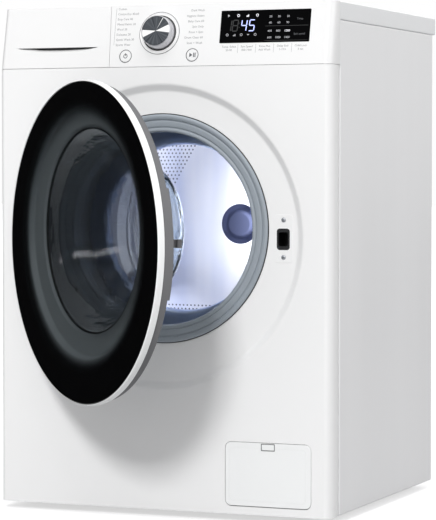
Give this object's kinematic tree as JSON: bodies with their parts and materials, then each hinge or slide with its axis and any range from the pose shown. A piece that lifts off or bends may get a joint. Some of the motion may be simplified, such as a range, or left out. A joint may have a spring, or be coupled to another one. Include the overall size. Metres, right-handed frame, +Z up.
{
  "type": "front load washing machine",
  "caption": "Free-standing front load washing machine with a round glass door ajar, a steel drum, a dial and display panel, a detergent drawer and a pump filter flap.",
  "frame": {"origin": "bottom centre of the box round the whole machine with its door standing ajar: x = 0 is the cabinet's middle, z = 0 is the floor under the feet", "axes": "+X to the right seen from the front, +Y from the front to the back, +Z up"},
  "size_m": [0.6, 0.8914, 0.85],
  "materials": {
    "white_paint": "smooth satin white enamel",
    "white_plastic": "satin white moulding",
    "grey_plastic": "fine matt grain",
    "black_plastic": "fine matt grain",
    "tub_plastic": "glass filled moulding",
    "lifter_plastic": "smooth dark blue moulding",
    "blue_plastic": "satin blue moulding",
    "dark_glass": "black printed glass, clear smoked in the middle",
    "clear_glass": "clear pressed glass",
    "display_glass": "black gloss window with lit symbols",
    "seal_rubber": "soft grey rubber",
    "black_rubber": "matt black rubber",
    "stainless": "brushed stainless steel with rows of small holes",
    "spun_aluminium": "spun bright aluminium",
    "cast_aluminium": "as cast",
    "zinc_steel": "bright zinc plate",
    "concrete": "cast concrete",
    "copper_winding": "enamelled copper wire",
    "circuit_board": "green solder mask"
  },
  "bodies": {
    "cabinet": {"front_panel": "white_paint", "side_panel_left": "white_paint", "side_panel_right": "white_paint", "rear_panel": "white_paint", "rear_cover": "white_paint", "top_cover": "white_plastic", "base_pan": "tub_plastic", "foot_front_left": "black_plastic", "foot_front_right": "black_plastic", "foot_rear_left": "black_plastic", "foot_rear_right": "black_plastic", "control_panel": "white_plastic", "display_window": "display_glass", "control_board": "circuit_board", "dispenser_housing": "white_plastic", "fill_hose": "black_rubber", "inlet_valve": "white_plastic", "inlet_hose": "black_rubber", "drain_outlet": "grey_plastic", "mains_gland": "black_plastic", "door_bellows": "seal_rubber", "tub_front": "tub_plastic", "tub_rear": "tub_plastic", "counterweight_upper": "concrete", "counterweight_lower": "concrete", "suspension_spring_left": "zinc_steel", "suspension_spring_right": "zinc_steel", "damper_left": "black_plastic", "damper_right": "black_plastic", "bearing_front": "zinc_steel", "bearing_rear": "zinc_steel", "stator": "copper_winding", "door_hinge_bracket": "zinc_steel", "door_hinge_pin": "zinc_steel", "door_lock": "black_plastic", "drain_pump": "black_plastic", "sump_hose": "black_rubber"},
    "door": {"door_rim": "white_plastic", "door_glass": "dark_glass", "door_frame": "grey_plastic", "door_bowl": "clear_glass", "door_hinge_leaf": "zinc_steel"},
    "latch": {"latch_hook": "tub_plastic"},
    "drum": {"drum_shell": "stainless", "drum_front": "stainless", "drum_back": "stainless", "drum_lifter_1": "lifter_plastic", "drum_lifter_2": "lifter_plastic", "drum_lifter_3": "lifter_plastic", "drum_spider": "cast_aluminium", "rotor": "zinc_steel"},
    "drawer": {"drawer_front": "white_plastic", "drawer_tray": "white_plastic", "softener_cap": "blue_plastic"},
    "dial": {"dial_knob": "spun_aluminium", "dial_face": "spun_aluminium"},
    "power_key": {"power_button": "white_plastic"},
    "start_key": {"start_button": "white_plastic"},
    "flap": {"filter_flap": "white_plastic"},
    "filter": {"pump_filter": "tub_plastic"}
  },
  "joints": [
    {"name": "door_hinge", "type": "hinge", "parent": "cabinet", "child": "door", "pos_m": [-0.25, -0.12581, 0.47], "axis": [0, 0, -1], "range_deg": [-37.5, 87.5]},
    {"name": "latch_pivot", "type": "hinge", "parent": "door", "child": "latch", "pos_m": [0.12235, -0.40522, 0.464], "axis": [0, 0, 1], "range_deg": [-6, 6], "stiffness_Nm_per_rad": 0.05},
    {"name": "drum_spin", "type": "hinge", "parent": "cabinet", "child": "drum", "pos_m": [0, 0, 0.4795], "axis": [0, 1, 0], "continuous": true},
    {"name": "drawer_slide", "type": "slide", "parent": "cabinet", "child": "drawer", "axis": [0, -1, 0], "range_m": [0, 0.22]},
    {"name": "dial_turn", "type": "hinge", "parent": "cabinet", "child": "dial", "pos_m": [-0.0056, -0.0987, 0.8025], "axis": [0, -0.979, 0.204], "continuous": true},
    {"name": "power_press", "type": "slide", "parent": "cabinet", "child": "power_key", "axis": [0, 0.979, -0.204], "range_m": [0, 0.0012], "stiffness_N_per_m": 800},
    {"name": "start_press", "type": "slide", "parent": "cabinet", "child": "start_key", "axis": [0, 0.979, -0.204], "range_m": [0, 0.0012], "stiffness_N_per_m": 800},
    {"name": "flap_hinge", "type": "hinge", "parent": "cabinet", "child": "flap", "pos_m": [0.1918, -0.10631, 0.037], "axis": [1, 0, 0], "range_deg": [0, 90]},
    {"name": "filter_turn", "type": "hinge", "parent": "cabinet", "child": "filter", "pos_m": [0.2, -0.09014, 0.08], "axis": [0, -1, 0], "range_deg": [0, 180]}
  ]
}
